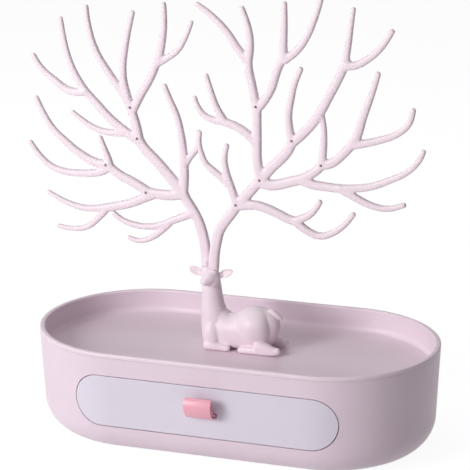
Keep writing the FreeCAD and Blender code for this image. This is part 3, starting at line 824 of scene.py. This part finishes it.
    def ear(self, side: int) -> List[Any]:
        """Model one ear: a thin leaf with a raised rim round it.

        Args:
            side: -1 for the ear towards -X, 1 for the other.

        Returns:
            The leaf, its stalk and its rim.
        """
        out = Vector((side, *self.ear_lean)).normalized()
        root = Vector((self.head_x + side * self.ear_root[0], *self.ear_root[1:]))
        facing = Vector(self.ear_facing).normalized()
        facing = (facing - out * facing.dot(out)).normalized()
        high = facing.cross(out).normalized()
        rim = []
        for step in range(self.ear_steps + 1):
            share = math.tau * step / self.ear_steps
            along = self.ear_length * (0.5 - 0.5 * math.cos(share))
            fullness = math.sin(math.pi * along / self.ear_length)
            across = self.ear_height * math.sin(share) * (0.75 + 0.25 * fullness)
            spot = root + out * along + high * across + facing * (self.ear_cup * fullness)
            rim.append((*spot, self.ear_rim))
        leaf = ball("leaf", self._at((0, 0, 0)), (self.ear_length / 2, self.ear_thickness, self.ear_height))
        turn = Matrix((out, facing, high)).transposed().to_4x4()
        middle = root + out * (self.ear_length / 2) - facing * self.ear_setback
        offset = Matrix.Translation(Vector(self._at(middle)) * MM)
        home = Matrix.Translation(-Vector(self._at((0, 0, 0))) * MM)
        leaf.data.transform(offset @ turn @ home)
        stalk = self._chain([(*(root - out * 3.0), 2.2), (*(root + out * 0.8), 1.5)])
        return [leaf, stalk, self._chain(rim)]

    def hind_leg(self, side: int) -> List[Any]:
        """Model a folded hind leg: shin, hock and the long foot on the floor.

        Args:
            side: -1 for the leg on the -Y side, 1 for the other.

        Returns:
            The forms.
        """
        y = side * 8.4
        shin = [(11.0, side * 7.4, 6.0, 4.0, 4.0), (14.5, side * 7.6, 5.6, 4.2, 4.1),
                (18.0, side * 7.9, 4.8, 3.7, 3.6), (21.2, y, 4.0, 3.0, 2.9), (24.2, y, 3.5, 2.2, 2.3),
                (26.2, y, 3.4, 1.2, 1.3)]
        foot = [(27.6, y, 4.6, 1.3, 1.7), (26.2, y, 3.4, 2.4, 2.6), (22.0, y, 2.4, 2.6, 2.4),
                (15.0, y, 2.4, 2.5, 2.4), (8.0, y, 2.3, 2.4, 2.4), (4.6, y, 2.0, 2.1, 2.1),
                (2.6, y, 1.9, 2.3, 2.1), (0.4, y, 1.6, 1.4, 1.3)]
        return [self._form(shin), self._form(foot)]

    def fore_leg(self, side: int) -> List[Any]:
        """Model a folded foreleg: shoulder, knee and the hoof beside the belly.

        Args:
            side: -1 for the leg on the -Y side, 1 for the other.

        Returns:
            The forms.
        """
        y = side * 8.2
        shoulder = [(-16.4, side * 6.2, 2.4, 3.0, 4.0), (-17.0, side * 6.6, 7.0, 4.4, 5.8),
                    (-17.0, side * 6.1, 12.0, 4.4, 6.0), (-16.8, side * 5.2, 17.2, 3.0, 4.3),
                    (-16.6, side * 4.4, 19.8, 1.5, 2.2)]
        lower = [(-21.6, y, 3.2, 1.6, 2.0), (-19.8, y, 3.2, 3.0, 3.1), (-16.5, y, 3.0, 3.3, 3.1),
                 (-12.0, y, 2.4, 2.5, 2.4), (-8.2, y, 2.1, 2.1, 2.0), (-6.4, y, 2.0, 2.4, 2.2),
                 (-4.2, y, 1.7, 1.6, 1.5)]
        return [self._form(shoulder), self._form(lower)]

    def build(self) -> Any:
        """Join the forms, melt them into one skin and cut the seat and the peg holes.

        Returns:
            The figure.
        """
        parts = self.trunk() + self.neck() + self.head()
        for side in (-1, 1):
            parts += self.ear(side) + self.hind_leg(side) + self.fore_leg(side)
        skin = joined(parts, "deer_figure")
        modified(skin, "REMESH", mode="VOXEL", voxel_size=self.voxel * MM)
        modified(skin, "SMOOTH", factor=0.5, iterations=self.smoothing)
        edited(skin, partial(bpy.ops.mesh.bisect, plane_co=(0, 0, FLOOR_HEIGHT * MM), plane_no=(0, 0, -1),
                             use_fill=True, clear_outer=True))
        for x, y in self.pedicles:
            carve(skin, rod("trim", self._at((x, y, PEDICLE_HEIGHT)),
                            self._at((x, y, PEDICLE_HEIGHT + self.trim_height)), self.trim_radius))
        for x, y in self.pedicles:
            carve(skin, rod("peg_hole", self._at((x, y, PEDICLE_HEIGHT - self.peg_depth)),
                            self._at((x, y, PEDICLE_HEIGHT + 1.0)), self.peg_hole))
        return placed(smooth(skin, self.sharp_angle), Body.BASE, FIGURE_PLASTIC, "deer_body")


# ---------------------------------------------------------------- antlers
class Girth(Enum):
    """The kinds of limb, each with its width at the root and at the tip."""

    TRUNK = (6.4, 5.8)
    BRANCH = (5.6, 5.0)
    STEM = (4.9, 4.5)
    LONG_TINE = (5.6, 3.0)
    TINE = (4.8, 3.0)
    TWIG = (4.3, 2.5)


@dataclass(frozen=True)
class Limb:
    """One limb: its kind and points (x, height above the tray's floor)."""

    girth: Girth
    points: Tuple[Tuple[float, float], ...]

    @property
    def root(self) -> float:
        """Its width at the root."""
        return self.girth.value[0]

    @property
    def tip(self) -> float:
        """Its width at the tip."""
        return self.girth.value[1]


@dataclass
class Antler:
    """One flat antler: tapering limbs with soft edges, webs at the forks and small stud holes.

    plane_y is its middle plane and pedicle the (x, y) of its peg.  squareness is the power of the limbs'
    section, where 2 is round.  A limb's rounded end reaches end_reach tip widths further, and is
    end_width tip widths wide there.  The spans are heights from the pedicle's top.
    """

    name: str
    node: str
    body: Body
    plane_y: float
    pedicle: Tuple[float, float]
    limbs: Tuple[Limb, ...]
    studs: Tuple[Tuple[float, float], ...]
    deepest: float = 4.7
    voxel: float = 0.46
    squareness: float = 3.4
    smoothing: int = 20
    swelling: float = 0.16
    sharp_angle: float = 70.0
    profile_points: int = 20
    end_reach: float = 0.32
    end_width: float = 0.78
    web: Tuple[float, float, float] = (3.4, 1.9, 3.4)
    root_radius: float = 2.7
    root_span: Tuple[float, float] = (-0.6, 4.0)
    seat_radius: float = 6.0
    seat_span: Tuple[float, float] = (-4.0, 0.12)
    stud_radius: float = 0.9
    stud_reach: float = 9.0
    peg_radius: float = 1.6
    peg_span: Tuple[float, float] = (-8.0, 2.0)
    peg_rounding: float = 0.4

    def _profile(self, depth_share: float) -> Any:
        """Add the closed section that the limbs are drawn with, one unit wide.

        Args:
            depth_share: its depth as a share of its width.

        Returns:
            The section's curve object.
        """
        data = bpy.data.curves.new("limb_section", "CURVE")
        data.dimensions = "2D"
        spline = data.splines.new("POLY")
        spline.points.add(self.profile_points - 1)
        for i, knot in enumerate(spline.points):
            angle = math.tau * i / self.profile_points
            across, up = math.cos(angle), math.sin(angle)
            bulge = (abs(across) ** self.squareness + abs(up) ** self.squareness) ** (-1 / self.squareness)
            knot.co = (across * bulge / 2 * MM, up * bulge / 2 * depth_share * MM, 0, 1)
        spline.use_cyclic_u = True
        section = bpy.data.objects.new("limb_section", data)
        bpy.context.scene.collection.objects.link(section)
        return section

    def _limb(self, limb: Limb) -> Any:
        """Draw one limb, which narrows from root to tip and ends round.

        Args:
            limb: the limb.

        Returns:
            Its mesh object, upright in the antler's plane.
        """
        spots = [Vector((x, height + FLOOR_HEIGHT, 0)) for x, height in limb.points]
        run = [0.0]
        for before, after in zip(spots, spots[1:]):
            run.append(run[-1] + (after - before).length)
        widths = [limb.root + (limb.tip - limb.root) * share / run[-1] for share in run]
        way = (spots[-1] - spots[-2]).normalized()
        spots.append(spots[-1] + way * limb.tip * self.end_reach)
        widths.append(limb.tip * self.end_width)
        section = self._profile(min(limb.root, self.deepest) / limb.root)
        curve = line_object(self.name + "_limb", [(s * MM, w) for s, w in zip(spots, widths)], flat=True)
        curve.data.fill_mode = "NONE"
        curve.data.bevel_mode = "OBJECT"
        curve.data.bevel_object = section
        piece = as_mesh(curve)
        bpy.data.objects.remove(section)
        upright = Matrix.Rotation(math.pi / 2, 4, "X")
        piece.matrix_world = Matrix.Translation((0, self.plane_y * MM, 0)) @ upright
        return settle(piece)

    def _pin(self, name: str, span: Tuple[float, float], radius: float) -> Any:
        """Add a rod on the peg's axis, between two heights from the pedicle's top.

        Args:
            name: its name.
            span: the two heights.
            radius: its radius.

        Returns:
            The rod.
        """
        bottom, top = ((*self.pedicle, PEDICLE_HEIGHT + height + FLOOR_HEIGHT) for height in span)
        return rod(name, bottom, top, radius)

    def build(self) -> Any:
        """Draw the limbs, melt them into one moulding and add holes and the peg.

        Returns:
            The antler.
        """
        parts = [self._limb(limb) for limb in self.limbs]
        forks = [(x, height + FLOOR_HEIGHT) for x, height in self.studs]
        parts += [ball("web", (x, self.plane_y, height), self.web) for x, height in forks]
        parts.append(self._pin("root", self.root_span, self.root_radius))
        piece = joined(parts, self.name)
        modified(piece, "REMESH", mode="VOXEL", voxel_size=self.voxel * MM)
        modified(piece, "SMOOTH", factor=0.5, iterations=self.smoothing)
        modified(piece, "DISPLACE", strength=self.swelling * MM, mid_level=0.0)
        carve(piece, self._pin("seat", self.seat_span, self.seat_radius))
        for x, height in forks:
            carve(piece, rod("stud_hole", (x, self.plane_y - self.stud_reach, height),
                             (x, self.plane_y + self.stud_reach, height), self.stud_radius))
        peg = self._pin("peg", self.peg_span, self.peg_radius)
        modified(peg, "BEVEL", width=self.peg_rounding * MM, segments=2, limit_method="ANGLE")
        piece = joined([piece, peg], self.name)
        return placed(smooth(piece, self.sharp_angle), self.body, FIGURE_PLASTIC, self.node)


LEFT_LIMBS = (
    Limb(Girth.TRUNK, ((-23, 50.5), (-23.5, 60), (-25, 69), (-27.5, 77), (-31, 84), (-35, 90), (-38, 96))),
    Limb(Girth.BRANCH, ((-37.5, 94), (-36.5, 104), (-36.5, 113))),
    Limb(Girth.TINE, ((-36.5, 112), (-37, 122), (-38.5, 133), (-41, 143), (-45, 152), (-48.5, 160.5))),
    Limb(Girth.TWIG, ((-37, 111), (-33, 117), (-29, 122), (-27, 128), (-27, 134))),
    Limb(Girth.TRUNK, ((-37, 94), (-43, 101), (-54, 113), (-63, 122), (-66, 127))),
    Limb(Girth.BRANCH, ((-65.5, 126), (-67, 134), (-69, 141), (-70.5, 147))),
    Limb(Girth.TINE, ((-69.5, 145), (-77, 156.5), (-83, 164.5), (-92.5, 180), (-97, 196), (-98, 206))),
    Limb(Girth.TINE, ((-70, 145), (-73, 154), (-75, 166), (-73, 183), (-68, 204))),
    Limb(Girth.STEM, ((-69, 144), (-63, 155), (-57, 165), (-52, 177))),
    Limb(Girth.TINE, ((-52, 175), (-49.5, 186), (-48, 197), (-48, 210))),
    Limb(Girth.TWIG, ((-53, 173.5), (-47, 177), (-40, 182), (-35, 189.5), (-30.5, 200))),
    Limb(Girth.LONG_TINE, ((-65, 125), (-75, 131), (-83, 137), (-93, 147), (-102, 157), (-110.5, 174),
                           (-115, 198))),
    Limb(Girth.TINE, ((-99, 153.5), (-110, 153.5), (-120, 159.5), (-129, 167), (-134, 174.5))),
    Limb(Girth.TWIG, ((-74, 129.5), (-88, 129.5), (-96, 132), (-102, 135.5), (-109, 140.5))),
    Limb(Girth.TRUNK, ((-35, 94.5), (-48, 92.5), (-61, 93.5))),
    Limb(Girth.BRANCH, ((-60, 93.5), (-69, 98.5), (-79.5, 103.5), (-87, 109))),
    Limb(Girth.TWIG, ((-85, 108.5), (-86.5, 114), (-88.5, 119), (-91, 126))),
    Limb(Girth.LONG_TINE, ((-85, 108.5), (-94, 109.5), (-103, 113.5), (-113.5, 121), (-123.5, 130.5),
                           (-133, 148))),
    Limb(Girth.TINE, ((-84, 107.5), (-91, 104), (-98, 102.5), (-106, 102), (-116, 102.5), (-124, 105),
                      (-131.5, 111), (-138, 119.5))),
    Limb(Girth.BRANCH, ((-55, 93), (-63, 89.5), (-72, 85.5), (-83, 82.5), (-90, 81))),
    Limb(Girth.TWIG, ((-88, 81.5), (-102, 80), (-114, 82.5), (-127, 88.5))),
    Limb(Girth.TWIG, ((-87, 81.5), (-93.5, 74.5), (-101.5, 68), (-112, 66), (-121, 67))),
    Limb(Girth.TINE, ((-30, 83), (-45, 76.5), (-53, 73), (-61, 71.5), (-70, 72), (-78, 74.5), (-83, 78))),
    Limb(Girth.TWIG, ((-46.5, 75), (-54.5, 67.5), (-61, 63.5), (-67, 62), (-74, 63.5))),
)
LEFT_STUDS = ((-61, 93.5), (-66, 127), (-70, 146), (-87, 109))

RIGHT_LIMBS = (
    Limb(Girth.TRUNK, ((-16.2, 50.6), (-15.5, 60), (-14, 68), (-12, 75), (-7.5, 82), (-3, 88), (0, 93))),
    Limb(Girth.TRUNK, ((-1, 91), (6, 99), (11, 105), (15, 110))),
    Limb(Girth.TINE, ((-1, 92), (-4, 101), (-8, 114), (-8.5, 121), (-7, 128))),
    Limb(Girth.TWIG, ((-6, 104), (-12, 109), (-16.5, 112.5), (-20.5, 116), (-23, 121.5), (-24.5, 128),
                      (-24, 135))),
    Limb(Girth.BRANCH, ((-2, 91), (4, 92), (11, 92.5), (18, 91), (26, 88), (32, 85.5), (38, 84.5))),
    Limb(Girth.TINE, ((36, 85), (44, 89), (48, 93), (51, 98))),
    Limb(Girth.TINE, ((35, 85), (46, 78), (52, 77), (58, 79), (65.5, 84.5), (71.5, 92))),
    Limb(Girth.TRUNK, ((13, 108), (18, 106), (23, 106), (32, 108.5), (42, 111.5))),
    Limb(Girth.BRANCH, ((40, 111), (49, 117), (53, 121.5))),
    Limb(Girth.TINE, ((52, 119.5), (52.5, 126), (53, 133), (53, 142), (52, 150))),
    Limb(Girth.BRANCH, ((51, 120), (58, 122), (65, 128), (71.5, 135.5))),
    Limb(Girth.LONG_TINE, ((70.5, 134), (73.5, 140), (76.5, 150), (81.5, 164), (85.5, 177))),
    Limb(Girth.TINE, ((70, 133.5), (79, 135.5), (86, 137.5), (97, 142), (104, 148.5), (106.5, 157))),
    Limb(Girth.LONG_TINE, ((39, 110.5), (47, 108), (53, 107.5), (64, 107), (74, 108), (81.5, 109.5),
                           (91.5, 113.5), (103.5, 120), (110.5, 127.5), (113, 133))),
    Limb(Girth.TINE, ((62, 107.5), (70, 103.5), (75, 101), (83, 98), (92, 97), (102, 100))),
    Limb(Girth.TRUNK, ((13, 107), (20.5, 116), (30.5, 126.5), (34.5, 135))),
    Limb(Girth.TINE, ((34, 133), (32, 141), (31.5, 149), (33, 158), (35, 167), (39, 177))),
    Limb(Girth.BRANCH, ((33.5, 132), (39.5, 137.5), (47.5, 146.5), (51, 152), (55.5, 160.5), (61.5, 172),
                        (66.5, 183))),
    Limb(Girth.TWIG, ((65.5, 181), (67.5, 193), (69, 204), (70.5, 214))),
    Limb(Girth.TINE, ((65.5, 180), (72, 181), (78.5, 184.5), (86.5, 191.5), (93.5, 202))),
    Limb(Girth.BRANCH, ((14, 108), (12, 121), (12, 133), (12, 142), (12, 154))),
    Limb(Girth.STEM, ((12, 130), (5, 136.5), (-2.5, 140.5), (-9.5, 142.5))),
    Limb(Girth.TWIG, ((-8, 142), (-13.5, 151.5), (-16.5, 160), (-19.5, 170))),
    Limb(Girth.TWIG, ((-7.5, 142.5), (-15, 143), (-21, 145.5), (-25, 150.5), (-27, 156))),
    Limb(Girth.STEM, ((12, 151), (9, 166), (7, 176), (7, 183))),
    Limb(Girth.TINE, ((7, 181), (8, 189), (7, 199), (3, 211))),
    Limb(Girth.TINE, ((7.5, 179), (1, 186), (-6, 196), (-15, 205), (-25, 212))),
    Limb(Girth.STEM, ((12, 151), (15.5, 155), (20.5, 163), (25, 176), (29, 184))),
    Limb(Girth.TINE, ((28.5, 182), (28.5, 192), (29, 203), (29, 215))),
    Limb(Girth.TINE, ((28.5, 181), (36, 187), (42, 195), (47, 206), (51, 218))),
)
RIGHT_STUDS = ((-1, 92), (14, 108.5), (34, 134), (12, 153), (52, 120.5))

LEFT_ANTLER = Antler("left_antler_moulding", "antler_left", Body.LEFT_ANTLER, DEER_Y + ANTLER_OFFSET,
                     (LEFT_PEDICLE[0], DEER_Y + LEFT_PEDICLE[1]), LEFT_LIMBS, LEFT_STUDS)
RIGHT_ANTLER = Antler("right_antler_moulding", "antler_right", Body.RIGHT_ANTLER, DEER_Y - ANTLER_OFFSET,
                      (RIGHT_PEDICLE[0], DEER_Y + RIGHT_PEDICLE[1]), RIGHT_LIMBS, RIGHT_STUDS)


# ---------------------------------------------------------------- placing and dressing
def dress(piece: Any, finish: Finish) -> None:
    """Give a piece one finish all over."""
    piece.data.materials.clear()
    piece.data.materials.append(finish.material())


def placed(piece: Any, body: Body, finish: Finish, node: str) -> Any:
    """Dress a new piece, let it ride on a body and stand for a CAD node.

    Args:
        piece: the object.
        body: the body that carries it.
        finish: its finish.
        node: the CAD node that it replaces.

    Returns:
        The same object.
    """
    dress(piece, finish)
    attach(piece, body.value)
    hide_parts(node)
    return piece


# ---------------------------------------------------------------- studio
@dataclass(frozen=True)
class Lamp:
    """A soft square lamp: its place, its side and its power in watts."""

    name: str
    place: Tuple[float, float, float]
    side: float
    power: float
    aim: Tuple[float, float, float] = (0.0, 0.0, 80.0)

    def hang(self) -> None:
        """Add the lamp, pointing at its aim."""
        spot = Vector(self.place) * MM
        way = Vector(self.aim) * MM - spot
        bpy.ops.object.light_add(type="AREA", location=spot, rotation=way.to_track_quat("-Z", "Y").to_euler())
        lamp = added(self.name)
        lamp.data.shape = "SQUARE"
        lamp.data.size = self.side * MM
        lamp.data.energy = self.power


@dataclass
class Studio:
    """The floor, the light and the camera.

    azimuth, elevation and roll are the camera's angles in degrees, round its target.
    """

    target: Tuple[float, float, float] = (-0.97, 0.0, 124.6)
    distance: float = 1200.0
    azimuth: float = 19.10
    elevation: float = 16.33
    roll: float = -0.49
    lens: float = 153.33
    sensor_width: float = 36.0
    clip: Tuple[float, float] = (0.05, 50.0)
    lamps: Tuple[Lamp, ...] = (Lamp("key_light", (-800, -1200, 600), side=650, power=16.2),
                               Lamp("fill_light", (200, -1300, 800), side=900, power=0.8),
                               Lamp("top_light", (-300, 100, 1300), side=900, power=3.4))
    sky: Tuple[float, float, float, float] = (1.0, 0.92, 0.95, 1.0)
    sky_strength: float = 0.19
    floor_size: float = 6000.0
    floor_colour: Tuple[float, float, float, float] = (0.9, 0.9, 0.9, 1.0)
    floor_glow: float = 1.18
    glow_share: float = 0.78

    def camera(self) -> None:
        """Add the camera at the usual viewing angle."""
        around, above, lean = (math.radians(v) for v in (self.azimuth, self.elevation, self.roll))
        back = Vector((math.sin(around) * math.cos(above), -math.cos(around) * math.cos(above),
                       math.sin(above)))
        right = Vector((math.cos(around), math.sin(around), 0))
        up = back.cross(right)
        turned = right * math.cos(lean) + up * math.sin(lean)
        top = up * math.cos(lean) - right * math.sin(lean)
        eye = (Vector(self.target) + back * self.distance) * MM
        bpy.ops.object.camera_add()
        camera = added("camera")
        camera.matrix_world = Matrix.Translation(eye) @ Matrix((turned, top, back)).transposed().to_4x4()
        camera.data.lens = self.lens
        camera.data.sensor_width = self.sensor_width
        camera.data.clip_start, camera.data.clip_end = self.clip
        bpy.context.scene.camera = camera

    def world(self) -> None:
        """Light the stand with a pale sky that the camera sees as white."""
        world = bpy.data.worlds.new("studio")
        world.use_nodes = True
        bpy.context.scene.world = world
        graph = Graph(world.node_tree)
        sky = graph.node("ShaderNodeBackground", None, {"Color": self.sky, "Strength": self.sky_strength})
        white = graph.node("ShaderNodeBackground", None, {"Color": (1, 1, 1, 1), "Strength": 1.0})
        chosen = graph.node("ShaderNodeMixShader", None, {
            0: self._seen(graph), 1: sky.wire(), 2: white.wire()})
        graph.node("ShaderNodeOutputWorld", None, {"Surface": chosen.wire()})

    def _seen(self, graph: Graph) -> Wire:
        """Return 1 for rays that show the background, straight, mirrored or through glass.

        Args:
            graph: the node tree that asks.

        Returns:
            The sum, 0 or 1.
        """
        rays = graph.node("ShaderNodeLightPath")
        straight, mirrored = rays.wire("Is Camera Ray"), rays.wire("Is Glossy Ray")
        return straight + mirrored + rays.wire("Is Transmission Ray")

    def floor(self) -> None:
        """Add the pale floor, which keeps the stand's shadow."""
        bpy.ops.mesh.primitive_plane_add(size=self.floor_size * MM, location=(0, 0, GROUND * MM))
        floor = settle(added("studio_floor"))
        made = bpy.data.materials.new("white_floor")
        made.use_nodes = True
        graph = Graph(made.node_tree)
        matt = graph.node("ShaderNodeBsdfDiffuse", None, {"Color": self.floor_colour})
        glow = graph.node("ShaderNodeEmission", None, {"Color": (1, 1, 1, 1), "Strength": self.floor_glow})
        chosen = graph.node("ShaderNodeMixShader", None, {
            0: self._seen(graph) * self.glow_share, 1: matt.wire(), 2: glow.wire()})
        graph.node("ShaderNodeOutputMaterial", None, {"Surface": chosen.wire()})
        floor.data.materials.append(made)

    def build(self) -> None:
        """Set up everything round the stand."""
        self.camera()
        for lamp in self.lamps:
            lamp.hang()
        self.world()
        self.floor()
        bpy.context.scene.view_settings.view_transform = "Standard"


def build(name: str, maker: Callable[[], Any]) -> None:
    """Build a piece and report it.

    Args:
        name: what the log calls it.
        maker: the method that builds it.
    """
    maker()
    LOG.info("built %s", name)


def main() -> None:
    """Dress the CAD frame and build every modelled piece."""
    logging.basicConfig(level=logging.INFO, format="%(name)s: %(message)s")
    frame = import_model()
    bpy.ops.object.select_all(action="DESELECT")
    base, drawer = Base(frame), Drawer(frame)
    base.dress()
    drawer.dress()
    build("base screws", base.screws)
    build("drawer screws", drawer.screws)
    build("pull strap", PullStrap().build)
    build("deer", Deer().build)
    build("left antler", LEFT_ANTLER.build)
    build("right antler", RIGHT_ANTLER.build)
    Studio().build()


if __name__ == "__main__":
    main()
